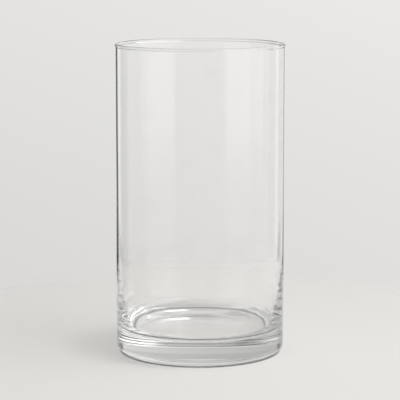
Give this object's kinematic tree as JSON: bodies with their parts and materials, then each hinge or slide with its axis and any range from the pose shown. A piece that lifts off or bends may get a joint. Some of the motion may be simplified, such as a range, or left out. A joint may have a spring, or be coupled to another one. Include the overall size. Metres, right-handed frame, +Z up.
{
  "type": "glass cylinder vase",
  "caption": "Tall straight-sided clear glass cylinder vase with a heavy base, a rounded heel and a fire-polished rim, for holding water and cut stems.",
  "frame": {"origin": "centre of the underside, on the plane the vase stands on", "axes": "+Z up along the vase's axis, out of the mouth; the body is round, so +X and +Y are free"},
  "size_m": [0.1258, 0.1258, 0.23],
  "materials": {
    "clear_glass": "clear, polished, faint grey in the thick base"
  },
  "bodies": {
    "root": {"vase_body": "clear_glass"}
  },
  "joints": []
}
